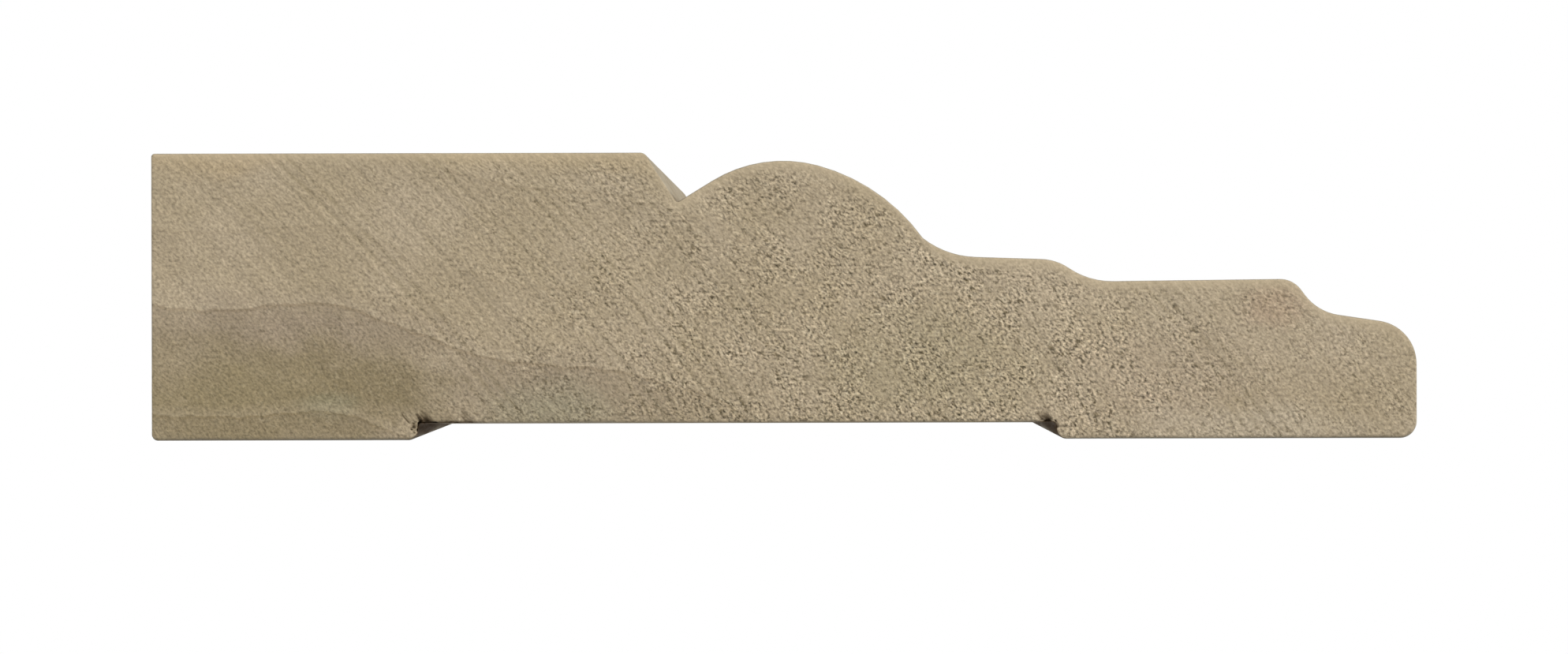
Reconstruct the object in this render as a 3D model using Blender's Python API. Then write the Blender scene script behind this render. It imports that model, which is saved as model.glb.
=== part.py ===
# Timber skirting board with a torus-and-fillet face, one metre cut square at both ends.
# It lies on its back: thick bottom edge at -X, thin top edge at +X, moulded face up,
# length along Y, both feet of the back on the plane Z = 0. Metres.

import math

import bpy
from mathutils import Matrix, Vector

MM = 0.001

# The board as a whole.
boardLength = 1000.0 * MM
boardWidth = 108.0 * MM
boardThickness = 24.5 * MM

# Edges that stay nearly sharp.
bottomEdgeFaceRadius = 0.3 * MM
bottomEdgeBackRadius = 0.55 * MM
topEdgeBackRadius = 1.45 * MM

# The moulded part keeps its size at the thin edge, and the plain face takes the rest.
# Places across the board are measured from the thin edge, drops from the plain face.
quirkArrisFromTop = 65.9 * MM
quirkArrisRadius = 0.7 * MM
quirkFromTop = 63.1 * MM
quirkDepth = 4.25 * MM
quirkRadius = 0.2 * MM

torusFromTop = 54.1 * MM
torusDrop = 0.72 * MM
torusRadius = 11.5 * MM
shoulderRadius = 16.2 * MM
shoulderStart = math.radians(15.0)

coveRadius = 7.7 * MM
upperFilletFromTop = 37.4 * MM
upperFilletDrop = 8.97 * MM
upperFilletFall = math.radians(1.9)
upperStepFromTop = 30.75 * MM
upperStepSlope = math.radians(34.2)
upperStepRadius = 4.4 * MM
upperStepCoveRadius = 6.6 * MM

lowerFilletDrop = 11.08 * MM
lowerFilletRise = math.radians(0.6)
lowerStepFromTop = 10.55 * MM
lowerStepSlope = math.radians(53.0)
lowerStepRadius = 2.2 * MM
lowerStepCoveRadius = 4.3 * MM

noseDrop = 14.97 * MM
noseFall = math.radians(8.5)
noseRadius = 3.7 * MM

# The shallow hollow along the back, which lets the board sit on an uneven wall.
hollowDepth = 1.4 * MM
hollowWidth = 54.4 * MM
hollowFromTop = 30.8 * MM
hollowLipRadius = 0.9 * MM
hollowCornerRadius = 0.35 * MM

# Widest turn between two points of an arc.
arcStep = math.radians(6.0)

collectionName = "skirting_board_parts"
timberColour = (0.371, 0.301, 0.202, 1.0)
timberRoughness = 0.78


def clearScene():
    for thing in list(bpy.data.objects):
        bpy.data.objects.remove(thing, do_unlink=True)


def onCircle(centre, radius, slope):
    """Point of a circle's upper side where it falls by this slope towards +X."""
    return centre + radius * Vector((math.sin(slope), math.cos(slope)))


def arcDown(centre, radius, startSlope, endSlope):
    """Points along a circle's upper side, from one falling slope to another."""
    count = max(2, math.ceil(abs(endSlope - startSlope) / arcStep))
    slopes = [startSlope + (endSlope - startSlope) * i / count for i in range(count + 1)]
    return [onCircle(centre, radius, slope) for slope in slopes]


def slopeToCircle(point, centre, radius):
    """Rising slope of the straight line from a point on the left that just touches the circle."""
    toCentre = centre - point
    return math.atan2(toCentre.y, toCentre.x) + math.asin(radius / toCentre.length)


def circlesMeet(centreA, radiusA, centreB, radiusB):
    """The lower-left of the two points where the circles cross, as seen from B."""
    between = centreB - centreA
    along = (between.length_squared + radiusA ** 2 - radiusB ** 2) / (2 * between.length)
    across = math.sqrt(max(radiusA ** 2 - along ** 2, 0.0))
    direction = between.normalized()
    return centreA + along * direction + across * Vector((direction.y, -direction.x))


def roundCorners(corners):
    """Corners given as (point, radius), each with a radius replaced by its tangent arc.
    Where two arcs want more of the side between them than it has, they share it."""
    total = len(corners)
    turns = []
    wanted = []
    for i, (corner, radius) in enumerate(corners):
        before = corner - corners[i - 1][0]
        after = corners[(i + 1) % total][0] - corner
        turns.append(before.angle_signed(after) if radius else 0.0)
        wanted.append(radius * abs(math.tan(turns[i] / 2)))

    points = []
    for i, (corner, radius) in enumerate(corners):
        if not wanted[i]:
            points.append(corner)
            continue
        reach = wanted[i]
        for j in (i - 1, (i + 1) % total):
            side = (corners[j][0] - corner).length
            reach = min(reach, side * wanted[i] / (wanted[i] + wanted[j]))
        before = (corner - corners[i - 1][0]).normalized()
        start = corner - before * reach
        spoke = Vector((-before.y, before.x)) * reach / math.tan(turns[i] / 2)
        count = max(2, math.ceil(abs(turns[i]) / arcStep))
        for k in range(count + 1):
            turned = Matrix.Rotation(-turns[i] * k / count, 2) @ spoke
            points.append(start - spoke + turned)
    return points


def torusStretch(quirkTip):
    """The torus and its cove, from the point where the torus leaves the quirk's slope."""
    topEdge = boardWidth / 2
    crownCentre = Vector((topEdge - torusFromTop, boardThickness - torusDrop - torusRadius))
    shoulderCentre = onCircle(crownCentre, torusRadius - shoulderRadius, shoulderStart)
    coveCentre = Vector((topEdge - upperFilletFromTop,
                         boardThickness - upperFilletDrop + coveRadius))
    meeting = circlesMeet(shoulderCentre, shoulderRadius, coveCentre, coveRadius)
    leaving = slopeToCircle(quirkTip, crownCentre, torusRadius)
    shoulderEnd = math.asin((meeting.x - shoulderCentre.x) / shoulderRadius)
    coveStart = math.asin((coveCentre.x - meeting.x) / coveRadius)

    crown = arcDown(crownCentre, torusRadius, -leaving, shoulderStart)
    shoulder = arcDown(shoulderCentre, shoulderRadius, shoulderStart, shoulderEnd)
    cove = arcDown(coveCentre, -coveRadius, coveStart, upperFilletFall)
    return crown + shoulder[1:] + cove[1:]


def boardOutline():
    """The section, clockwise from the back of the thick edge. X across, Y up from the back."""
    thick = -boardWidth / 2
    thin = boardWidth / 2
    face = boardThickness
    quirkTip = Vector((thin - quirkFromTop, face - quirkDepth))
    torus = torusStretch(quirkTip)

    upperFillet = torus[-1]
    upperStepX = thin - upperStepFromTop
    upperStepY = upperFillet.y - (upperStepX - upperFillet.x) * math.tan(upperFilletFall)
    lowerFilletY = face - lowerFilletDrop
    lowerStepX = thin - lowerStepFromTop
    upperCoveX = upperStepX + (upperStepY - lowerFilletY) / math.tan(upperStepSlope)
    lowerStepY = lowerFilletY + (lowerStepX - upperCoveX) * math.tan(lowerFilletRise)

    # The riser under the lower fillet meets the nose's slope, which reaches the thin edge.
    noseY = face - noseDrop
    drop = lowerStepY - (noseY + (thin - lowerStepX) * math.tan(noseFall))
    run = drop / (math.tan(lowerStepSlope) - math.tan(noseFall))
    lowerCove = Vector((lowerStepX + run, lowerStepY - run * math.tan(lowerStepSlope)))

    hollowThin = thin - hollowFromTop
    hollowThick = hollowThin - hollowWidth

    corners = [
        (Vector((thick, 0.0)), bottomEdgeBackRadius),
        (Vector((thick, face)), bottomEdgeFaceRadius),
        (Vector((thin - quirkArrisFromTop, face)), quirkArrisRadius),
        (quirkTip, quirkRadius),
    ]
    corners += [(point, 0.0) for point in torus]
    corners += [
        (Vector((upperStepX, upperStepY)), upperStepRadius),
        (Vector((upperCoveX, lowerFilletY)), upperStepCoveRadius),
        (Vector((lowerStepX, lowerStepY)), lowerStepRadius),
        (lowerCove, lowerStepCoveRadius),
        (Vector((thin, noseY)), noseRadius),
        (Vector((thin, 0.0)), topEdgeBackRadius),
        (Vector((hollowThin, 0.0)), hollowLipRadius),
        (Vector((hollowThin, hollowDepth)), hollowCornerRadius),
        (Vector((hollowThick, hollowDepth)), hollowCornerRadius),
        (Vector((hollowThick, 0.0)), hollowLipRadius),
    ]
    return roundCorners(corners)


def timberMaterial():
    material = bpy.data.materials.new("timber")
    material.use_nodes = True
    shader = material.node_tree.nodes["Principled BSDF"]
    shader.inputs["Base Color"].default_value = timberColour
    shader.inputs["Roughness"].default_value = timberRoughness
    shader.inputs["Metallic"].default_value = 0.0
    return material


def makeBoard(collection):
    """The outline as a filled curve, extruded to the length and laid on its back."""
    points = boardOutline()
    curve = bpy.data.curves.new("skirting_board", "CURVE")
    curve.dimensions = "2D"
    curve.fill_mode = "BOTH"
    curve.extrude = boardLength / 2
    spline = curve.splines.new("POLY")
    spline.points.add(len(points) - 1)
    for target, point in zip(spline.points, points):
        target.co = (point.x, point.y, 0.0, 1.0)
    spline.use_cyclic_u = True
    spline.use_smooth = True
    curve.materials.append(timberMaterial())

    board = bpy.data.objects.new("skirting_board", curve)
    board.rotation_euler = (math.pi / 2, 0.0, 0.0)
    collection.objects.link(board)
    return board


def main():
    clearScene()
    parts = bpy.data.collections.new(collectionName)
    bpy.context.scene.collection.children.link(parts)
    makeBoard(parts)


main()
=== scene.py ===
import math

import bmesh
import bpy
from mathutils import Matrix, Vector, kdtree, noise


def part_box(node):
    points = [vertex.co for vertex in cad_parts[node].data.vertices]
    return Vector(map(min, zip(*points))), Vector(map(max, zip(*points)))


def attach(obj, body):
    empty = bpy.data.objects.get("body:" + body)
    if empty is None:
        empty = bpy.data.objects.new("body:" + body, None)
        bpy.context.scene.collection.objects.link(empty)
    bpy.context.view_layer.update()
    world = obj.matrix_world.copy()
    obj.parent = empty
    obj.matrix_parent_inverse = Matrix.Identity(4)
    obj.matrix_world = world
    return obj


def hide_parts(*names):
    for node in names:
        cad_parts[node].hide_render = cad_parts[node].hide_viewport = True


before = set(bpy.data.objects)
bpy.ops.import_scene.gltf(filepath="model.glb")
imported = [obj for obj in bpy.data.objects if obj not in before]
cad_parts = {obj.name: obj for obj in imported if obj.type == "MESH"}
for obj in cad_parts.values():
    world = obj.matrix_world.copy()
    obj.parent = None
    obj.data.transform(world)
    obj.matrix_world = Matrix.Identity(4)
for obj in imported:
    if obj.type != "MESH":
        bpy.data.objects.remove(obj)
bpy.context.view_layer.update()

mm = 0.001
closeBy = 1e-6                 # metres; points nearer than this become one
cutSlack = 1e-8                # metres; a cut this near a point goes through it

board = {
    "node": "skirting_board",
    "slot": "timber",
    "flatAngle": 0.001,                  # radians; the solid's flatter edges are dissolved
    "sharpAngle": 32.0,                  # degrees
    "endInsets": [0.03, 0.08, 0.13],     # mm, rings inside the rim of each sawn end
    "arris": 0.11,                       # mm broken off round the sawn ends
    "arrisInner": 0.28,                  # of that, on the second ring
    "endRings": [0.35, 0.8, 1.8, 4.0],   # mm in from each sawn end, on the long faces
    "stationGap": 25.0,                  # mm between rings along the length
    "rimStep": 0.1,                      # mm between the points that stand for the rim
    "frayFine": 0.05,                    # mm that the sawn rim is nibbled by
    "frayBroad": 0.09,
    "frayFinePerMm": 1.7,                # how often either comes and goes
    "frayBroadPerMm": 0.22,
    "frayFineLeast": 0.55,               # how much of either the upper edges get
    "frayBroadLeast": 0.6,
    "frayDepth": 0.7,                    # mm in from the rim
    "frayReach": 1.8,                    # mm in from the end
    "upperHighlightReach": 1.0,                   # mm under upper edges of fewer specks and a painted highlight
    "lowerShadeReach": 0.28,                  # mm of painted shade over lower edges
}

# arcs that the blade left on the sawn ends, in mm
sawCut = {
    "bladeRadius": 152.1,
    "bladeBelow": 88.6,        # blade centre under the board's back
    "columnGap": 0.19,         # of the mesh, across the arcs
    "rowGap": 0.8,
    "pitch": 1.15,             # from groove to groove
    "pitchWander": 2.6,        # grooves that the spacing drifts by, over the reach below
    "wanderReach": 28.0,
    "depth": 0.04,
    "sharpness": 1.6,          # over 1, grooves are narrower than ridges
    "plainStrength": 0.25,
    "steadyShare": 0.85,       # of the strength, and how much comes and goes in patches
    "patchShare": 0.6,
    "patchPerMm": (0.25, 0.05),
    "bundles": [               # place on the plain face, reach, strength
        (-51.6, 1.8, 0.6), (-43.2, 2.0, 1.2), (-37.6, 1.3, 0.5), (-31.4, 2.1, 0.9),
        (-24.8, 2.4, 1.0), (-17.0, 3.2, 0.6), (-8.0, 2.2, 0.7), (5.0, 3.0, 0.4),
        (20.5, 4.0, 0.6), (29.0, 2.0, 0.4), (34.0, 2.0, 0.4),
    ],
}

# fibres torn out of the hollow's corners at the near end, in mm; their dark tint is torn wood and
# painted shade in the corners
tears = [
    {"place": (-30.6, 1.2), "reach": (1.2, 0.62), "depth": 1.4, "ragged": 1.0, "shade": 0.9},
    {"place": (-28.2, 1.36), "reach": (2.6, 0.24), "depth": 0.6, "ragged": 0.7, "shade": 0.85},
    {"place": (22.5, 1.2), "reach": (0.7, 0.55), "depth": 1.2, "ragged": 0.9, "shade": 0.9},
]
tearForm = {
    "margin": 0.9,             # of finer mesh round each tear
    "sideways": 1.6,           # times wider to its sides
    "rowGap": 0.14,            # of that mesh
    "edge": 1.05,              # of a tear's reach, where it starts
    "steepness": 2.2,
    "raggedPerMm": 2.6,
    "pocketPerMm": 3.1,
}

low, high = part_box(board["node"])
boardThickness = (high.z - low.z) / mm


def arcReach(z):
    return math.sqrt(sawCut["bladeRadius"] ** 2 - (z + sawCut["bladeBelow"]) ** 2)


def ripple(x, y, z, seed):
    return noise.noise(Vector((x, y, z + seed * 17.3)))


def sawWave(across, z, seed):
    # 0 on a ridge to 1 in a groove, times how strong the marks are there
    wander = sawCut["pitchWander"] * ripple(across / sawCut["wanderReach"], 0.5, 0.0, seed)
    phase = 2 * math.pi * (across / sawCut["pitch"] + wander)
    groove = (0.5 + 0.5 * math.sin(phase)) ** sawCut["sharpness"]
    strength = sawCut["plainStrength"]
    for place, reach, share in sawCut["bundles"]:
        off = (across - place + arcReach(boardThickness)) / reach
        strength += share * math.exp(-off * off)
    wide, tall = sawCut["patchPerMm"]
    patch = ripple(across * wide, z * tall, 3.0, seed)
    strength *= sawCut["steadyShare"] + sawCut["patchShare"] * patch
    return groove * max(0.0, min(1.0, strength))


def touching(faces):
    edges = {edge for face in faces for edge in face.edges}
    verts = {vert for face in faces for vert in face.verts}
    return list(verts) + list(edges) + list(faces)


def sliceFaces(bm, faces, places, axis):
    # cuts at every place along the axis; halving the list keeps each cut small
    if not places or not faces:
        return
    middle = len(places) // 2
    cut = bmesh.ops.bisect_plane(bm, geom=touching(faces), dist=cutSlack,
                                 plane_co=axis * places[middle], plane_no=axis)
    parts = [item for item in cut["geom"] if isinstance(item, bmesh.types.BMFace)]
    below, above = [], []
    for face in parts:
        under = face.calc_center_median().dot(axis) < places[middle]
        (below if under else above).append(face)
    sliceFaces(bm, below, places[:middle], axis)
    sliceFaces(bm, above, places[middle + 1:], axis)


def evenPlaces(start, end, gap):
    count = max(1, math.ceil((end - start) / gap))
    return [start + (end - start) * i / count for i in range(1, count)]


def facesNear(bm, reach):
    return [face for face in bm.faces if all(v.co.y < low.y + reach for v in face.verts)]


def boardBlank():
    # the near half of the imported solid, merged, its sawn end one face and each strip one
    bm = bmesh.new()
    bm.from_mesh(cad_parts[board["node"]].data)
    bmesh.ops.remove_doubles(bm, verts=bm.verts, dist=closeBy)
    sawn = [face for face in bm.faces if face.normal.y < -0.9]
    bmesh.ops.dissolve_faces(bm, faces=sawn)
    flat = [edge for edge in bm.edges if edge.calc_face_angle(1.0) < board["flatAngle"]]
    bmesh.ops.dissolve_edges(bm, edges=flat, use_verts=False)
    bmesh.ops.bisect_plane(bm, geom=bm.verts[:] + bm.edges[:] + bm.faces[:], dist=cutSlack,
                           plane_co=(0, 0, 0), plane_no=(0, 1, 0), clear_outer=True)
    bmesh.ops.recalc_face_normals(bm, faces=bm.faces)
    return bm


def rimOfEnd(bm):
    # points along the rim of the sawn end, each with the way out of the board
    end = max(facesNear(bm, closeBy), key=lambda face: face.calc_area())
    corners = [Vector((v.co.x, v.co.z)) / mm for v in end.verts]
    turn = sum(a.x * b.y - b.x * a.y for a, b in zip(corners, corners[1:] + corners[:1]))
    points = []
    for a, b in zip(corners, corners[1:] + corners[:1]):
        side = b - a
        out = Vector((side.y, -side.x)).normalized() * math.copysign(1.0, turn)
        count = max(1, round(side.length / board["rimStep"]))
        points += [(a + side * i / count, out) for i in range(count)]
    tree = kdtree.KDTree(len(points))
    for i, (point, _) in enumerate(points):
        tree.insert((point.x, point.y, 0.0), i)
    tree.balance()
    return tree, [out for point, out in points]


def breakArris(bm):
    # two insets make the rounding's rings, and the third keeps the grid off them
    end = max(facesNear(bm, closeBy), key=lambda face: face.calc_area())
    rings = []
    for step in board["endInsets"]:
        made = bmesh.ops.inset_region(bm, faces=[end], thickness=step * mm, use_even_offset=True)
        rings.append({vert for face in made["faces"] for vert in face.verts} - set(end.verts))
    for ring, back in zip(rings, (board["arris"], board["arris"] * board["arrisInner"])):
        for vert in ring:
            vert.co.y += back * mm


def gridEnd(bm):
    # rows across the end, then columns along the blade's arcs, out to the last end ring
    reach = board["endRings"][-1] * mm + closeBy
    rows = [row * mm for row in evenPlaces(0.0, boardThickness, sawCut["rowGap"])]
    sliceFaces(bm, facesNear(bm, reach), rows, Vector((0, 0, 1)))
    for tear in tears:
        x, z = tear["place"]
        wide, tall = (size + tearForm["margin"] for size in tear["reach"])
        patch = [face for face in facesNear(bm, reach)
                 if abs(face.calc_center_median().x / mm - x) < wide * tearForm["sideways"]
                 and abs(face.calc_center_median().z / mm - z) < tall]
        rows = [row * mm for row in evenPlaces(z - tall, z + tall, tearForm["rowGap"])]
        sliceFaces(bm, patch, rows, Vector((0, 0, 1)))
    verts = {vert for face in facesNear(bm, reach) for vert in face.verts}
    for vert in verts:
        vert.co.x -= arcReach(vert.co.z / mm) * mm
    start = min(vert.co.x for vert in verts)
    finish = max(vert.co.x for vert in verts)
    columns = evenPlaces(start, finish, sawCut["columnGap"] * mm)
    sliceFaces(bm, facesNear(bm, reach), columns, Vector((1, 0, 0)))
    verts = {vert for face in facesNear(bm, reach) for vert in face.verts}
    for vert in verts:
        vert.co.x += arcReach(vert.co.z / mm) * mm


def tornShare(x, z, seed):
    # 0 on sound wood to 1 in the middle of a tear, and the tear itself
    share, worst = 0.0, tears[0]
    perMm = tearForm["raggedPerMm"]
    for tear in tears:
        wide, tall = tear["reach"]
        off = math.hypot((x - tear["place"][0]) / wide, (z - tear["place"][1]) / tall)
        off += tear["ragged"] * ripple(x * perMm, 0.0, z * perMm, seed + 4)
        here = max(0.0, min(1.0, (tearForm["edge"] - off) * tearForm["steepness"]))
        if here > share:
            share, worst = here, tear
    return share, worst


def relieveEnd(bm, verts, endY, rim, seed):
    marks = bm.verts.layers.float["sawMarks"]
    edgeLightShade = bm.verts.layers.float["edgeLightShade"]
    tornShade = bm.verts.layers.float["tornShade"]
    tree, ways = rim
    inward = -math.copysign(1.0, endY)
    nearEnd = endY < 0
    finePerMm = board["frayFinePerMm"]
    broadPerMm = board["frayBroadPerMm"]
    pocketPerMm = tearForm["pocketPerMm"]
    for vert in verts:
        x, y, z = vert.co / mm
        inside = abs(y - endY / mm)
        _, index, distance = tree.find((x, z, 0.0))
        out = ways[index]

        groove = sawWave(x - arcReach(z), z, seed)
        groove *= max(0.0, 1.0 - inside / board["endRings"][0])
        vert[marks] = groove

        # the rim is nibbled, least on the plain face and most where the blade left the wood
        atEnd = max(0.0, 1.0 - inside / board["frayReach"])
        near = max(0.0, 1.0 - distance / board["frayDepth"]) * atEnd
        lower = 0.5 - 0.5 * out.y
        fine = abs(ripple(x * finePerMm, y * 0.2, z * finePerMm, seed))
        nibble = board["frayFine"] * (board["frayFineLeast"] + lower) * fine
        broad = 0.5 + 0.5 * ripple(x * broadPerMm, 0.0, z * broadPerMm, seed + 2)
        nibble += board["frayBroad"] * broad * (board["frayBroadLeast"] + lower)
        vert.co.x -= out.x * nibble * near * mm
        vert.co.z -= out.y * nibble * near * mm
        # upper edges carry a painted highlight and lower edges painted shade
        toneReach = board["upperHighlightReach"] if out.y > 0 else board["lowerShadeReach"]
        vert[edgeLightShade] = out.y * max(0.0, 1.0 - distance / toneReach) * atEnd

        # the tear's dark tint is torn wood and painted shade in the hollow's corner
        share, tear = tornShare(x, z, seed) if nearEnd else (0.0, tears[0])
        vert[tornShade] = tear["shade"] * share * max(0.0, 1.0 - inside / (tear["depth"] + 1.0))
        pocket = 0.5 + 0.5 * ripple(x * pocketPerMm, 0.0, z * pocketPerMm, seed + 6)
        pocket *= share * tear["depth"]
        # the sawn face itself is cut, with its arris, and the long faces aren't
        if inside < board["arris"] * 1.01:
            vert.co.y += inward * (sawCut["depth"] * groove + pocket) * mm


def makeBoard():
    bm = boardBlank()
    for name in ("sawMarks", "edgeLightShade", "tornShade"):
        bm.verts.layers.float.new(name)
    rim = rimOfEnd(bm)
    breakArris(bm)
    stations = [low.y + inset * mm for inset in board["endRings"]]
    sides = [face for face in bm.faces if abs(face.normal.y) < 0.5]
    sliceFaces(bm, sides, stations, Vector((0, 1, 0)))
    gridEnd(bm)
    print("sawn end gridded,", len(bm.faces), "faces")
    last = stations[-1]
    sides = [face for face in bm.faces if min(v.co.y for v in face.verts) > last - closeBy]
    sliceFaces(bm, sides, evenPlaces(last, 0.0, board["stationGap"] * mm), Vector((0, 1, 0)))
    bmesh.ops.mirror(bm, geom=bm.verts[:] + bm.edges[:] + bm.faces[:], axis="Y",
                     merge_dist=closeBy)
    bmesh.ops.recalc_face_normals(bm, faces=bm.faces)
    reach = board["endRings"][-1] * mm + closeBy
    for seed, endY in enumerate((low.y, high.y)):
        verts = [vert for vert in bm.verts if abs(vert.co.y - endY) < reach]
        relieveEnd(bm, verts, endY, rim, seed)
        print("sawn end", seed + 1, "has", len(verts), "points")
    for face in bm.faces:
        face.smooth = True
        face.material_index = 1 if abs(face.normal.y) > 0.5 else 0
    for edge in bm.edges:
        edge.smooth = edge.calc_face_angle(0.0) < math.radians(board["sharpAngle"])
    mesh = bpy.data.meshes.new("mouldedBoard")
    bm.to_mesh(mesh)
    bm.free()
    piece = bpy.data.objects.new("moulded_board", mesh)
    bpy.context.scene.collection.objects.link(piece)
    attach(piece, "root")
    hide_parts(board["node"])
    return piece


def tint(red, green, blue):
    # a colour as it reads on screen, 0 to 255, made linear
    levels = [level / 255 for level in (red, green, blue)]
    return [((c + 0.055) / 1.055) ** 2.4 if c > 0.04 else c / 12.92 for c in levels] + [1.0]


def addNode(tree, kind, feeds=None, **settings):
    # every node stands in the next place of a grid, ten to a row
    made = tree.nodes.new(kind)
    row, column = divmod(len(tree.nodes), 10)
    made.location = (column * 190, -row * 230)
    for name, value in settings.items():
        setattr(made, name, value)
    for socket, source in (feeds or {}).items():
        if isinstance(source, bpy.types.NodeSocket):
            tree.links.new(source, made.inputs[socket])
        else:
            made.inputs[socket].default_value = source
    return made


def calc(tree, operation, *feeds, clamp=False):
    feeds = dict(enumerate(feeds))
    return addNode(tree, "ShaderNodeMath", feeds, operation=operation, use_clamp=clamp).outputs[0]


def vectorCalc(tree, operation, a, b):
    return addNode(tree, "ShaderNodeVectorMath", {0: a, 1: b}, operation=operation).outputs[0]


def remap(tree, value, start, end, toStart=0.0, toEnd=1.0, smooth=True):
    kind = "SMOOTHSTEP" if smooth else "LINEAR"
    feeds = {"Value": value, "From Min": start, "From Max": end,
             "To Min": toStart, "To Max": toEnd}
    return addNode(tree, "ShaderNodeMapRange", feeds, interpolation_type=kind).outputs["Result"]


def mixTint(tree, share, a, b, blend="MIX"):
    made = addNode(tree, "ShaderNodeMix", {0: share, 6: a, 7: b},
                   data_type="RGBA", blend_type=blend, clamp_factor=True)
    return made.outputs[2]


def cloud(tree, place, scale, detail=2.0, rough=0.5, warp=0.0):
    feeds = {"Vector": place, "Scale": scale, "Detail": detail, "Roughness": rough,
             "Distortion": warp}
    return addNode(tree, "ShaderNodeTexNoise", feeds).outputs[0]


def newGroup(name, inputs, outputs):
    tree = bpy.data.node_groups.new(name, "ShaderNodeTree")
    for label, kind, value in inputs:
        socket = tree.interface.new_socket(label, in_out="INPUT", socket_type="NodeSocket" + kind)
        if value is not None:
            socket.default_value = value
    for label, kind in outputs:
        tree.interface.new_socket(label, in_out="OUTPUT", socket_type="NodeSocket" + kind)
    return tree, addNode(tree, "NodeGroupInput"), addNode(tree, "NodeGroupOutput")


def useGroup(tree, group, feeds=None):
    return addNode(tree, "ShaderNodeGroup", feeds, node_tree=group)


def boardPlaceGroup():
    # place on the board in mm, and the distance across it measured along the blade's arcs
    tree, _, out = newGroup("boardPlace", [], [("Place", "Vector"), ("Across", "Float"),
                                               ("Height", "Float")])
    coords = addNode(tree, "ShaderNodeTexCoord").outputs["Object"]
    place = addNode(tree, "ShaderNodeVectorMath", {0: coords, "Scale": 1 / mm},
                    operation="SCALE").outputs[0]
    split = addNode(tree, "ShaderNodeSeparateXYZ", {0: place})
    above = calc(tree, "ADD", split.outputs["Z"], sawCut["bladeBelow"])
    squared = calc(tree, "MULTIPLY", above, above)
    reach = calc(tree, "SQRT", calc(tree, "SUBTRACT", sawCut["bladeRadius"] ** 2, squared))
    across = calc(tree, "SUBTRACT", split.outputs["X"], reach)
    tree.links.new(place, out.inputs["Place"])
    tree.links.new(across, out.inputs["Across"])
    tree.links.new(split.outputs["Z"], out.inputs["Height"])
    return tree


growth = {
    # the strongest ring's way across the near end, mm from the middle and above the back
    "path": [(-54, 11.4), (-48, 11.1), (-41.3, 11.6), (-38, 11.4), (-34.6, 10.3), (-31.2, 9.0),
             (-26.5, 7.4), (-23.1, 6.6), (-14.4, 5.8), (-9.7, 4.5), (-6.3, 3.8), (-3, 1.8),
             (1, 0.8), (7.1, 0.0), (14.5, -4.0), (25.3, -7.8), (48.2, -9.5), (54, -11.2)],
    "rings": [(-9.2, 0.8), (0.0, 1.0), (6.7, 0.3), (15.0, 0.45), (21.0, 0.7), (27.5, 0.6),
              (34.0, 0.7)],    # mm above that ring, strength
    "lineWidth": 0.28,         # mm, with a pale glow above each line and a shade below
    "glowWidth": 1.3,
    "belowWidth": 4.0,
    "lineCore": 0.1,
    "drift": 13.0,             # mm that the rings rise and fall along the board
    "driftReach": 260.0,
    "driftPerMm": 0.012,       # across the board
    "stillReach": 220.0,       # mm from the near end to where they drift freely
    "shiver": 0.8,             # mm of fine unevenness, long along the grain
    "shiverPerMm": 0.5,
    "shiverAlong": 0.05,
    "pathLow": -14.0,          # mm, the height that the path's curve spans
    "pathHigh": 26.0,
}


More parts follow.
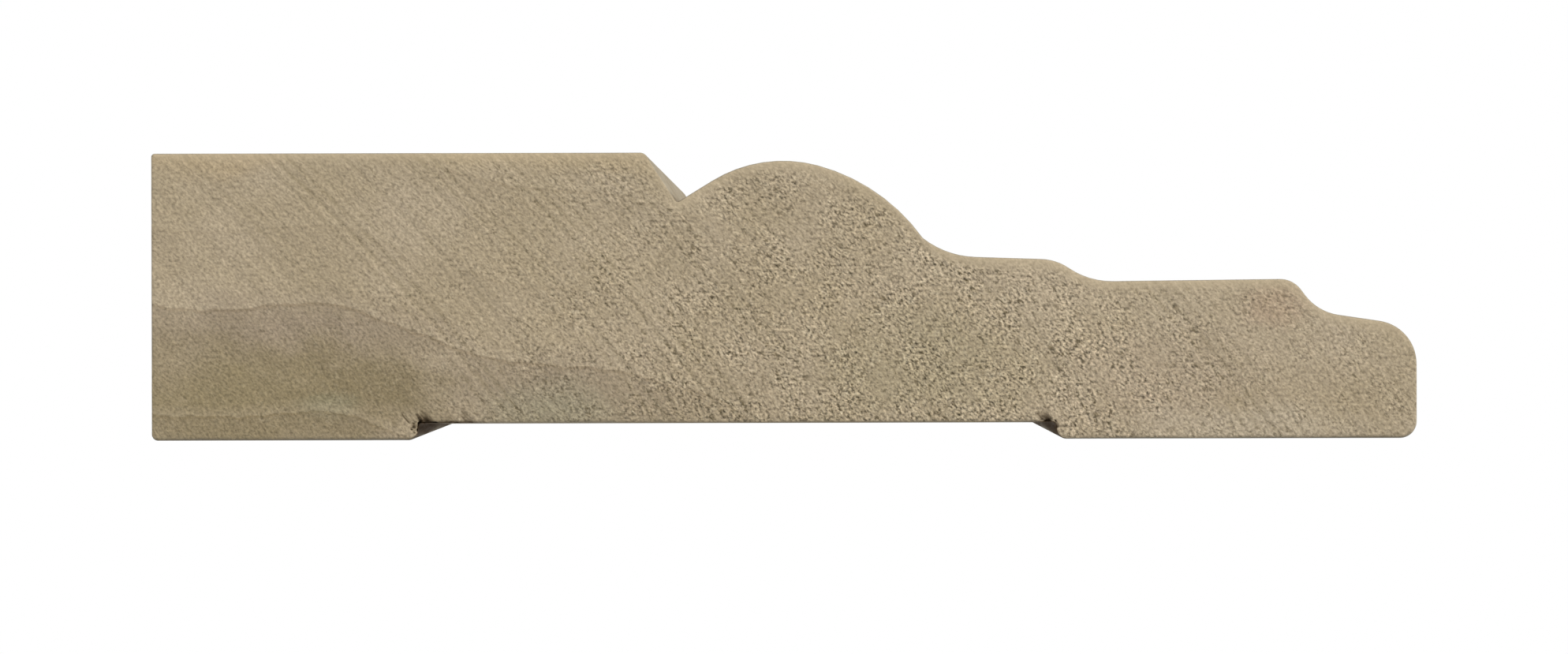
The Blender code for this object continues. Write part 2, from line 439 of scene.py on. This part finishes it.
def growthRingsGroup():
    tree, given, out = newGroup("growthRings", [("Place", "Vector", None)],
                                [("Line", "Float"), ("Glow", "Float"), ("Below", "Float"),
                                 ("Rise", "Float")])
    split = addNode(tree, "ShaderNodeSeparateXYZ", {0: given.outputs["Place"]})
    half = high.x / mm
    alongWidth = remap(tree, split.outputs["X"], -half, half, smooth=False)
    span = growth["pathHigh"] - growth["pathLow"]
    bend = addNode(tree, "ShaderNodeFloatCurve", {"Value": alongWidth})
    curve = bend.mapping.curves[0]
    spots = [((x + half) / (2 * half), (z - growth["pathLow"]) / span) for x, z in growth["path"]]
    curve.points[0].location = spots[0]
    curve.points[1].location = spots[-1]
    for spot in spots[1:-1]:
        curve.points.new(*spot)
    bend.mapping.update()
    path = remap(tree, bend.outputs[0], 0.0, 1.0, growth["pathLow"], growth["pathHigh"], False)

    # at the near end nothing drifts, so there the rings lie as the photo shows them
    perMm = (growth["driftPerMm"], 1 / growth["driftReach"], growth["driftPerMm"])
    slow = vectorCalc(tree, "MULTIPLY", given.outputs["Place"], perMm)
    wander = calc(tree, "SUBTRACT", cloud(tree, slow, 1.0, 1.0), 0.5)
    nearEnd = low.y / mm
    fromEnd = remap(tree, split.outputs["Y"], nearEnd, nearEnd + growth["stillReach"])
    drift = calc(tree, "MULTIPLY", calc(tree, "MULTIPLY", wander, growth["drift"] * 2), fromEnd)
    stretched = vectorCalc(tree, "MULTIPLY", given.outputs["Place"],
                           (1.0, growth["shiverAlong"], 1.0))
    shiver = cloud(tree, stretched, growth["shiverPerMm"], 3.0)
    shake = calc(tree, "MULTIPLY", calc(tree, "SUBTRACT", shiver, 0.5), growth["shiver"])
    rise = calc(tree, "SUBTRACT", split.outputs["Z"], path)
    rise = calc(tree, "ADD", calc(tree, "ADD", rise, drift), shake)

    core = growth["lineCore"]
    line, glow, below = 0.0, 0.0, 0.0
    for place, strength in growth["rings"]:
        off = calc(tree, "SUBTRACT", rise, place)
        dark = remap(tree, calc(tree, "ABSOLUTE", off), growth["lineWidth"], 0.0, 0.0, strength)
        above = remap(tree, off, core, growth["glowWidth"], strength, 0.0)
        above = calc(tree, "MULTIPLY", above, calc(tree, "GREATER_THAN", off, core))
        under = remap(tree, off, -growth["belowWidth"], -core, 0.0, strength)
        under = calc(tree, "MULTIPLY", under, calc(tree, "LESS_THAN", off, -core))
        line = calc(tree, "ADD", dark, line)
        glow = calc(tree, "ADD", above, glow)
        below = calc(tree, "ADD", under, below)
    tree.links.new(line, out.inputs["Line"])
    tree.links.new(glow, out.inputs["Glow"])
    tree.links.new(below, out.inputs["Below"])
    tree.links.new(rise, out.inputs["Rise"])
    return tree


speckNoise = {
    "rough": 0.65,
    "pit": (0.5, 0.33),        # noise level where a pit starts, and where it is full
    "pale": (0.52, 0.7),
    "paleScale": 1.2,          # how much finer than the pits
    "grainScale": 2.0,
    "paleShift": (37.0, 11.0, 5.0),
}


def woodSpecksGroup():
    # dark pits and pale fibre ends; the long faces stretch the same pattern along the grain
    tree, given, out = newGroup(
        "woodSpecks",
        [("Place", "Vector", None), ("Along", "Float", 0.03), ("Size", "Float", 0.6)],
        [("Dark", "Float"), ("Pale", "Float"), ("Grain", "Float")])
    squeeze = addNode(tree, "ShaderNodeCombineXYZ", {0: 1.0, 1: given.outputs["Along"], 2: 1.0})
    place = vectorCalc(tree, "MULTIPLY", given.outputs["Place"], squeeze.outputs[0])
    scale = calc(tree, "DIVIDE", 1.0, given.outputs["Size"])
    paleScale = calc(tree, "MULTIPLY", scale, speckNoise["paleScale"])
    grainScale = calc(tree, "MULTIPLY", scale, speckNoise["grainScale"])
    rough = speckNoise["rough"]
    pits = cloud(tree, place, scale, 3.0, rough, 0.3)
    shifted = vectorCalc(tree, "ADD", place, speckNoise["paleShift"])
    fibres = cloud(tree, shifted, paleScale, 3.0, rough, 0.2)
    fine = cloud(tree, place, grainScale, 2.0, rough)
    tree.links.new(remap(tree, pits, *speckNoise["pit"]), out.inputs["Dark"])
    tree.links.new(remap(tree, fibres, *speckNoise["pale"]), out.inputs["Pale"])
    tree.links.new(calc(tree, "SUBTRACT", fine, 0.5), out.inputs["Grain"])
    return tree


spotEdge = {
    "perMm": (0.16, 0.01, 0.25),
    "wander": 1.5,             # how uneven a spot's outline is
    "outer": 1.3,              # of the reach, where the spot starts and where it is full
    "inner": 0.25,
    "endless": 10000.0,        # mm, the reach of a spot that runs the whole length
}


def softSpotGroup():
    # a blurred, uneven patch that runs along the grain
    tree, given, out = newGroup(
        "softSpot",
        [("Place", "Vector", None), ("Centre", "Vector", (0, 0, 0)),
         ("Reach", "Vector", (5, 1, 5))],
        [("Mask", "Float")])
    off = vectorCalc(tree, "SUBTRACT", given.outputs["Place"], given.outputs["Centre"])
    off = vectorCalc(tree, "DIVIDE", off, given.outputs["Reach"])
    far = addNode(tree, "ShaderNodeVectorMath", {0: off}, operation="LENGTH").outputs["Value"]
    uneven = vectorCalc(tree, "MULTIPLY", given.outputs["Place"], spotEdge["perMm"])
    edge = calc(tree, "SUBTRACT", cloud(tree, uneven, 1.0, 3.0), 0.5)
    edge = calc(tree, "MULTIPLY", edge, spotEdge["wander"])
    mask = remap(tree, calc(tree, "ADD", far, edge), spotEdge["outer"], spotEdge["inner"])
    tree.links.new(mask, out.inputs["Mask"])
    return tree


# how fine the teeth's marks are per mm, across the arcs and along them
dashFineness = {"Streak": (3.2, 0.9), "Scratch": (1.1, 0.03)}


def sawDashesGroup():
    # short streaks and long scratches that the teeth drew along their arcs
    tree, given, out = newGroup("sawDashes", [("Across", "Float", 0.0), ("Height", "Float", 0.0)],
                                [("Streak", "Float"), ("Scratch", "Float")])
    for label, (fine, long) in dashFineness.items():
        feeds = {0: calc(tree, "MULTIPLY", given.outputs["Across"], fine), 1: long,
                 2: calc(tree, "MULTIPLY", given.outputs["Height"], long)}
        place = addNode(tree, "ShaderNodeCombineXYZ", feeds).outputs[0]
        streak = calc(tree, "SUBTRACT", cloud(tree, place, 1.0, 2.0, 0.6), 0.5)
        tree.links.new(streak, out.inputs[label])
    return tree


boardPlace = boardPlaceGroup()
growthRings = growthRingsGroup()
woodSpecks = woodSpecksGroup()
softSpot = softSpotGroup()
sawDashes = sawDashesGroup()
print("shared wood effects made")


def spotAlong(tree, place, middle, reach, strength):
    # one soft patch that runs the whole length of the board
    (x, z), (wide, tall) = middle, reach
    spot = useGroup(tree, softSpot, {"Place": place, "Centre": (x, 0.0, z),
                                     "Reach": (wide, spotEdge["endless"], tall)})
    return calc(tree, "MULTIPLY", spot.outputs["Mask"], strength)


def attribute(tree, name):
    return addNode(tree, "ShaderNodeAttribute", attribute_name=name).outputs["Fac"]


# where four numbers stand together they are from, to, and the result at each
endGrain = {
    "ground": (tint(164, 149, 123), tint(172, 157, 133)),
    "groundPerMm": 0.11,
    "Line": tint(122, 106, 82),
    "Glow": tint(184, 169, 144),
    "Below": tint(140, 126, 106),
    "ringShares": {"Below": 0.3, "Glow": 0.3, "Line": 0.42},
    "ringFade": (-20.0, 6.0, 1.0, 0.3),         # over mm across the board
    "speckSize": 0.5,                           # mm
    "pit": tint(92, 80, 56),
    "pitShare": 0.8,
    "pale": tint(202, 190, 164),
    "paleShare": 0.34,
    "contrast": (0.2, 1.2, 1.6, 4.6),           # of the fine grain, over the specks' density
    "holesPerMm": 0.5,
    "holeShare": 0.3,                           # of the places where a larger hole may be
    "holeSize": (0.2, 0.06),
    "groove": tint(120, 108, 82),
    "grooveShare": 0.52,
    "streaks": (-0.12, 0.16, 0.4, 1.0),
    "brushShare": 0.42,
    # painted highlight along the upper edges
    "upperHighlight": tint(192, 175, 145),
    "upperHighlightShare": 0.6,
    # painted shade along the lower edges
    "grimeAndShade": tint(108, 101, 86),
    "lowerShadeShare": 0.7,
    # torn wood and painted shade in the hollow's corners
    "tornWoodShade": tint(78, 62, 42),
    "roughness": (0.3, 0.7, 0.72, 0.86),
    "shine": 0.25,
    "bump": 0.35,
    "bumpDepth": 0.05,                          # mm
}

# how dense the specks are, over mm across and up, a cloud's level, saw marks and the rim
speckDensity = [
    ("across", (-46.0, 14.0, 0.32, 1.02)), ("across", (20.0, 44.0, 1.0, 0.52)),
    ("height", (22.0, 3.0, 0.86, 1.08)), ("cloud", (0.3, 0.68, 0.5, 1.2)),
    ("marks", (0.0, 1.0, 0.85, 1.4)), ("rim", (0.0, 0.7, 1.0, 0.25)),
]

# colour zones of the sawn end: middle and reach in mm across and up, tint, strength
endZones = [
    ((-50, 24.5), (9, 2.2), tint(178, 156, 120), 0.45),
    ((-20, 25.0), (16, 2.2), tint(176, 156, 120), 0.45),
    ((-42, 9.0), (13, 3.4), tint(147, 132, 113), 0.75),
    ((-20, 4.0), (13, 4.2), tint(147, 133, 112), 0.7),
    ((-47, 3.2), (17, 6.2), tint(135, 122, 91), 0.85),
    ((-35, 4.5), (7, 4.5), tint(126, 113, 84), 0.7),
    ((-38.5, 3.0), (3, 1.2), tint(142, 136, 110), 0.6),
    ((-53.5, 7.0), (5, 3.6), tint(144, 130, 104), 0.7),
    ((-20, 2.6), (6, 2.6), tint(146, 141, 118), 0.6),
    ((-4.5, 3.0), (5.5, 3.4), tint(149, 135, 110), 0.45),
    ((12, 6.0), (10, 5.5), tint(157, 145, 118), 0.65),
    ((33, 5.0), (9, 5.5), tint(164, 148, 127), 0.5),
    ((-14, 1.2), (22, 2.4), tint(150, 136, 110), 0.15),
    ((44, 8.0), (8, 5.0), tint(178, 163, 141), 0.4),
    ((32, 11.5), (6, 2.6), tint(180, 165, 141), 0.5),
    ((40, 0.8), (13, 2.4), tint(180, 168, 148), 0.5),
    ((42, 11.5), (3, 2.0), tint(172, 148, 124), 0.5),
]


def endGrainMaterial():
    material = bpy.data.materials.new("timberSawnEnd")
    material.use_nodes = True
    tree = material.node_tree
    shader = tree.nodes["Principled BSDF"]
    where = useGroup(tree, boardPlace)
    place = where.outputs["Place"]
    rings = useGroup(tree, growthRings, {"Place": place})
    split = addNode(tree, "ShaderNodeSeparateXYZ", {0: place})
    lean = calc(tree, "ADD", calc(tree, "MULTIPLY", where.outputs["Across"], 0.5),
                calc(tree, "MULTIPLY", split.outputs["X"], 0.5))
    leaning = addNode(tree, "ShaderNodeCombineXYZ", {0: lean, 1: 0.0, 2: split.outputs["Z"]})
    specks = useGroup(tree, woodSpecks, {"Place": leaning.outputs[0], "Along": 1.0,
                                         "Size": endGrain["speckSize"]})
    dashes = useGroup(tree, sawDashes, {"Across": where.outputs["Across"],
                                        "Height": where.outputs["Height"]})
    marks = attribute(tree, "sawMarks")
    edge = attribute(tree, "edgeLightShade")
    tornShade = attribute(tree, "tornShade")

    blotch = cloud(tree, place, endGrain["groundPerMm"], 3.0, 0.55)
    colour = mixTint(tree, remap(tree, blotch, 0.35, 0.7), *endGrain["ground"])
    for middle, reach, shade, strength in endZones:
        share = spotAlong(tree, place, middle, reach, strength)
        colour = mixTint(tree, share, colour, shade)
    ringed = remap(tree, split.outputs["X"], *endGrain["ringFade"])
    for band, share in endGrain["ringShares"].items():
        strength = calc(tree, "MULTIPLY", rings.outputs[band], ringed)
        strength = calc(tree, "MULTIPLY", strength, share)
        colour = mixTint(tree, strength, colour, endGrain[band])

    # the specks are dense across the middle and thin out to the left
    causes = {"across": split.outputs["X"], "height": split.outputs["Z"], "marks": marks,
              "rim": edge, "cloud": cloud(tree, place, 0.3, 2.0, 0.6)}
    dense = 1.0
    for cause, span in speckDensity:
        dense = calc(tree, "MULTIPLY", remap(tree, causes[cause], *span), dense)
    holes = addNode(tree, "ShaderNodeTexVoronoi", {"Vector": leaning.outputs[0],
                                                   "Scale": endGrain["holesPerMm"]})
    chosen = addNode(tree, "ShaderNodeSeparateColor", {0: holes.outputs["Color"]}).outputs[0]
    chosen = calc(tree, "GREATER_THAN", chosen, 1.0 - endGrain["holeShare"])
    hole = remap(tree, holes.outputs["Distance"], *endGrain["holeSize"])
    hole = calc(tree, "MULTIPLY", calc(tree, "MULTIPLY", hole, chosen), dense)
    pits = calc(tree, "MULTIPLY", specks.outputs["Dark"], dense)
    pits = calc(tree, "MAXIMUM", pits, hole)
    pale = calc(tree, "MULTIPLY", specks.outputs["Pale"], dense)
    pitted = calc(tree, "MULTIPLY", pits, endGrain["pitShare"])
    colour = mixTint(tree, pitted, colour, endGrain["pit"])
    flecked = calc(tree, "MULTIPLY", pale, endGrain["paleShare"])
    colour = mixTint(tree, flecked, colour, endGrain["pale"])
    grain = calc(tree, "MULTIPLY", specks.outputs["Grain"],
                 remap(tree, dense, *endGrain["contrast"]))
    colour = mixTint(tree, 1.0, colour, calc(tree, "ADD", grain, 1.0), "MULTIPLY")

    # the saw grooves are darkened, partly scored fibres and partly painted shade in the grooves
    streak = remap(tree, dashes.outputs["Streak"], *endGrain["streaks"])
    scoredAndShaded = calc(tree, "MULTIPLY", marks, streak)
    scoredAndShaded = calc(tree, "MULTIPLY", scoredAndShaded, endGrain["grooveShare"])
    colour = mixTint(tree, scoredAndShaded, colour, endGrain["groove"])
    brushed = calc(tree, "ADD", dashes.outputs["Streak"], dashes.outputs["Scratch"])
    brushed = calc(tree, "MULTIPLY", brushed, endGrain["brushShare"])
    colour = mixTint(tree, 1.0, colour, calc(tree, "ADD", brushed, 1.0), "MULTIPLY")

    # painted highlight on the upper edges, painted shade on the lower edges
    upperHighlight = calc(tree, "MULTIPLY", edge, endGrain["upperHighlightShare"], clamp=True)
    colour = mixTint(tree, upperHighlight, colour, endGrain["upperHighlight"])
    lowerEdgeShade = calc(tree, "MULTIPLY", edge, -endGrain["lowerShadeShare"], clamp=True)
    colour = mixTint(tree, lowerEdgeShade, colour, endGrain["grimeAndShade"])
    # tears darkened by torn wood and painted shade
    colour = mixTint(tree, tornShade, colour, endGrain["tornWoodShade"])
    tree.links.new(colour, shader.inputs["Base Color"])

    rough = remap(tree, cloud(tree, place, 0.9, 3.0), *endGrain["roughness"])
    tree.links.new(rough, shader.inputs["Roughness"])
    height = calc(tree, "SUBTRACT", calc(tree, "MULTIPLY", pale, 0.5), pits)
    height = calc(tree, "ADD", height, calc(tree, "MULTIPLY", specks.outputs["Grain"], 0.8))
    height = calc(tree, "ADD", height, calc(tree, "MULTIPLY", dashes.outputs["Streak"], 0.6))
    bump = addNode(tree, "ShaderNodeBump", {"Strength": endGrain["bump"], "Height": height,
                                            "Distance": endGrain["bumpDepth"] * mm})
    tree.links.new(bump.outputs["Normal"], shader.inputs["Normal"])
    shader.inputs["Specular IOR Level"].default_value = endGrain["shine"]
    return material


planed = {
    "early": tint(178, 166, 143),
    "late": tint(166, 153, 128),
    "ringGap": 4.6,            # mm between growth rings, and how far that wanders
    "ringWander": 5.0,
    "line": tint(138, 120, 90),
    "lineShare": 0.35,
    "vessel": tint(120, 104, 76),
    "vesselSize": 0.2,         # mm
    "vesselAlong": 0.03,       # the less, the longer along the grain
    "vesselShare": 0.5,
    "fibreSize": 0.6,          # mm
    "fibreAlong": 0.01,
    "streaks": (0.9, 1.1),     # how far the fibres darken and lighten the wood
    # dirt for the smudges, and painted shade along the lower edges
    "grimeAndShade": tint(126, 116, 98),
    "lowerShadeShare": 0.7,
    "smudge": (0.52, 0.76, 0.0, 0.28),
    # painted shade for the hollow's corners and the quirk's tip
    "cornerShade": tint(92, 72, 46),
    "roughness": (0.56, 0.72),
    "shine": (0.35, 0.06),     # bare, and under the painted corner shade
    "knifePitch": 1.3,         # mm between the planer's knife marks
    "knifeDepth": 0.25,
    "bump": 0.3,
    "bumpDepth": 0.04,         # mm
}

# where painted shade darkens the hollow's corners and the quirk's tip along the board: middle and
# reach in mm across and up, strength
cornerShadeSpots = [((-31.2, 1.2), (2.2, 1.5), 1.0), ((23.2, 1.2), (2.2, 1.5), 1.0),
             ((-9.1, 20.2), (1.0, 1.1), 0.5)]


def planedMaterial():
    material = bpy.data.materials.new("timberPlaned")
    material.use_nodes = True
    tree = material.node_tree
    shader = tree.nodes["Principled BSDF"]
    where = useGroup(tree, boardPlace)
    place = where.outputs["Place"]
    rings = useGroup(tree, growthRings, {"Place": place})
    vessels = useGroup(tree, woodSpecks, {"Place": place, "Along": planed["vesselAlong"],
                                          "Size": planed["vesselSize"]})
    fibres = useGroup(tree, woodSpecks, {"Place": place, "Along": planed["fibreAlong"],
                                         "Size": planed["fibreSize"]})
    edge = attribute(tree, "edgeLightShade")
    tornShade = attribute(tree, "tornShade")

    rise = rings.outputs["Rise"]
    layer = addNode(tree, "ShaderNodeCombineXYZ", {0: rise, 1: 0.0, 2: 0.0}).outputs[0]
    uneven = calc(tree, "MULTIPLY", cloud(tree, layer, 0.16, 1.0), planed["ringWander"])
    tone = calc(tree, "DIVIDE", calc(tree, "ADD", rise, uneven), planed["ringGap"])
    tone = calc(tree, "FRACT", tone)
    # each ring darkens slowly through its year and ends at once
    late = calc(tree, "MULTIPLY", remap(tree, tone, 0.2, 0.9), remap(tree, tone, 1.0, 0.93))
    colour = mixTint(tree, late, planed["early"], planed["late"])
    lined = calc(tree, "MULTIPLY", rings.outputs["Line"], planed["lineShare"])
    colour = mixTint(tree, lined, colour, planed["line"])
    streaks = remap(tree, fibres.outputs["Grain"], -0.2, 0.2, *planed["streaks"], smooth=False)
    colour = mixTint(tree, 1.0, colour, streaks, "MULTIPLY")
    pores = calc(tree, "MULTIPLY", vessels.outputs["Dark"], planed["vesselShare"])
    colour = mixTint(tree, pores, colour, planed["vessel"])
    long = vectorCalc(tree, "MULTIPLY", place, (1.0, 0.08, 1.0))
    smudge = remap(tree, cloud(tree, long, 0.035, 3.0, 0.6), *planed["smudge"])
    colour = mixTint(tree, smudge, colour, planed["grimeAndShade"])
    # painted shade on the lower edges
    lowerEdgeShade = calc(tree, "MULTIPLY", edge, -planed["lowerShadeShare"], clamp=True)
    colour = mixTint(tree, lowerEdgeShade, colour, planed["grimeAndShade"])
    # painted shade in the hollow's corners and at the quirk's tip, with less shine there
    cornerShaded = 0.0
    for middle, reach, strength in cornerShadeSpots:
        share = spotAlong(tree, place, middle, reach, strength)
        colour = mixTint(tree, share, colour, planed["cornerShade"])
        cornerShaded = calc(tree, "MAXIMUM", share, cornerShaded)
    # tears darkened by torn wood and painted shade
    colour = mixTint(tree, tornShade, colour, endGrain["tornWoodShade"])
    tree.links.new(colour, shader.inputs["Base Color"])

    rough = remap(tree, fibres.outputs["Grain"], -0.2, 0.2, *planed["roughness"])
    tree.links.new(rough, shader.inputs["Roughness"])
    split = addNode(tree, "ShaderNodeSeparateXYZ", {0: place})
    knife = calc(tree, "MULTIPLY", split.outputs["Y"], 2 * math.pi / planed["knifePitch"])
    knife = calc(tree, "MULTIPLY", calc(tree, "SINE", knife), planed["knifeDepth"])
    height = calc(tree, "SUBTRACT", knife, vessels.outputs["Dark"])
    height = calc(tree, "ADD", height, calc(tree, "MULTIPLY", fibres.outputs["Grain"], 1.2))
    bump = addNode(tree, "ShaderNodeBump", {"Strength": planed["bump"], "Height": height,
                                            "Distance": planed["bumpDepth"] * mm})
    tree.links.new(bump.outputs["Normal"], shader.inputs["Normal"])
    shine = remap(tree, cornerShaded, 0.0, 1.0, *planed["shine"])
    tree.links.new(shine, shader.inputs["Specular IOR Level"])
    return material


piece = makeBoard()
piece.data.materials.append(planedMaterial())
piece.data.materials.append(endGrainMaterial())
print("timber materials made")

studio = {
    "floorRadius": 12.0,
    "floorLip": 0.4,           # mm of floor under the board's edges
    "floorGap": 0.02,          # mm between the board and the floor
    "floorPaint": tint(246, 246, 245),
    "paperFacing": (0.93, 0.985),  # how edge-on the floor turns to plain white
    "worldLight": 0.39,
    "keyFrom": (0.62, -0.55, 0.56),
    "keySpread": 14.0,         # degrees
    "keyPower": 2.3,
    "topHeight": 5.0,
    "topSize": 6.0,
    "topPower": 60.0,
}


def floorMaterial(name, letsLightUp):
    material = bpy.data.materials.new(name)
    material.use_nodes = True
    tree = material.node_tree
    shader = tree.nodes["Principled BSDF"]
    shader.inputs["Roughness"].default_value = 0.9
    shader.inputs["Specular IOR Level"].default_value = 0.1
    shader.inputs["Base Color"].default_value = studio["floorPaint"]
    # seen edge-on by the camera the floor reads as plain white paper
    grazing = addNode(tree, "ShaderNodeLayerWeight", {"Blend": 0.5}).outputs["Facing"]
    grazing = remap(tree, grazing, *studio["paperFacing"])
    camera = addNode(tree, "ShaderNodeLightPath").outputs["Is Camera Ray"]
    paper = addNode(tree, "ShaderNodeEmission", {"Color": (1, 1, 1, 1), "Strength": 1.0})
    lit = addNode(tree, "ShaderNodeMixShader", {0: calc(tree, "MULTIPLY", grazing, camera),
                                               1: shader.outputs[0], 2: paper.outputs[0]})
    clear = addNode(tree, "ShaderNodeBsdfTransparent")
    hidden = addNode(tree, "ShaderNodeNewGeometry").outputs["Backfacing"]
    if letsLightUp:
        hidden = calc(tree, "MAXIMUM", hidden, calc(tree, "SUBTRACT", 1.0, camera))
    shown = addNode(tree, "ShaderNodeMixShader", {0: hidden, 1: lit.outputs[0],
                                                 2: clear.outputs[0]})
    tree.links.new(shown.outputs[0], tree.nodes["Material Output"].inputs["Surface"])
    return material


def makeFloor():
    bm = bmesh.new()
    bmesh.ops.create_circle(bm, cap_ends=True, segments=64, radius=studio["floorRadius"])
    # under the board the floor lets light through to its back and the hollow
    lip = studio["floorLip"] * mm
    sliceFaces(bm, bm.faces[:], [low.x + lip, high.x - lip], Vector((1, 0, 0)))
    sliceFaces(bm, bm.faces[:], [low.y + lip, high.y - lip], Vector((0, 1, 0)))
    covered = min(bm.faces, key=lambda face: face.calc_center_median().length)
    covered.material_index = 1
    bmesh.ops.translate(bm, verts=bm.verts, vec=(0, 0, -studio["floorGap"] * mm))
    mesh = bpy.data.meshes.new("studioFloor")
    bm.to_mesh(mesh)
    bm.free()
    mesh.materials.append(floorMaterial("studioFloor", False))
    mesh.materials.append(floorMaterial("studioFloorUnderBoard", True))
    floor = bpy.data.objects.new("studio_floor", mesh)
    bpy.context.scene.collection.objects.link(floor)


def makeWorld():
    world = bpy.data.worlds.new("studio")
    bpy.context.scene.world = world
    world.use_nodes = True
    tree = world.node_tree
    backdrop = tree.nodes["Background"]
    backdrop.inputs["Color"].default_value = (1, 1, 1, 1)
    path = addNode(tree, "ShaderNodeLightPath").outputs["Is Camera Ray"]
    level = remap(tree, path, 0.0, 1.0, studio["worldLight"], 1.0, False)
    tree.links.new(level, backdrop.inputs["Strength"])


def makeLights():
    key = bpy.data.lights.new("keyLight", "SUN")
    key.angle = math.radians(studio["keySpread"])
    key.energy = studio["keyPower"]
    lamp = bpy.data.objects.new("keyLight", key)
    lamp.location = studio["keyFrom"]
    lamp.rotation_euler = Vector(studio["keyFrom"]).to_track_quat("Z", "Y").to_euler()
    bpy.context.scene.collection.objects.link(lamp)

    top = bpy.data.lights.new("topSoftbox", "AREA")
    top.shape = "SQUARE"
    top.size = studio["topSize"]
    top.energy = studio["topPower"]
    box = bpy.data.objects.new("topSoftbox", top)
    box.location = (0.0, 0.0, studio["topHeight"])
    box.visible_camera = False
    bpy.context.scene.collection.objects.link(box)


# the photo's frame, and how many of its pixels one metre of the sawn end covers
photo = {
    "width": 1988,
    "height": 829,
    "pixelsPerMetre": 14860.0,
    "backRow": 557.0,          # pixel row of the board's back
    "roll": 0.13,              # degrees
    "eyeRow": 372.0,           # pixel row that the lens is level with
    "distance": 2.6,           # metres from the lens to the sawn end
    "sensor": 36.0,
    "sight": 50.0,             # metres that the camera sees
}


def makeCamera():
    data = bpy.data.cameras.new("photoCamera")
    data.sensor_width = photo["sensor"]
    data.lens = data.sensor_width * photo["distance"] * photo["pixelsPerMetre"] / photo["width"]
    data.clip_end = photo["sight"]
    camera = bpy.data.objects.new("photoCamera", data)
    height = (photo["backRow"] - photo["eyeRow"]) / photo["pixelsPerMetre"]
    drop = (photo["height"] / 2 - photo["eyeRow"]) / photo["pixelsPerMetre"]
    camera.location = (0.0, low.y - photo["distance"], height)
    camera.rotation_euler = (math.pi / 2 - math.atan(drop / photo["distance"]),
                             math.radians(photo["roll"]), 0.0)
    bpy.context.scene.collection.objects.link(camera)
    bpy.context.scene.camera = camera


makeFloor()
makeWorld()
makeLights()
makeCamera()
bpy.context.scene.view_settings.view_transform = "Standard"
print("studio made")
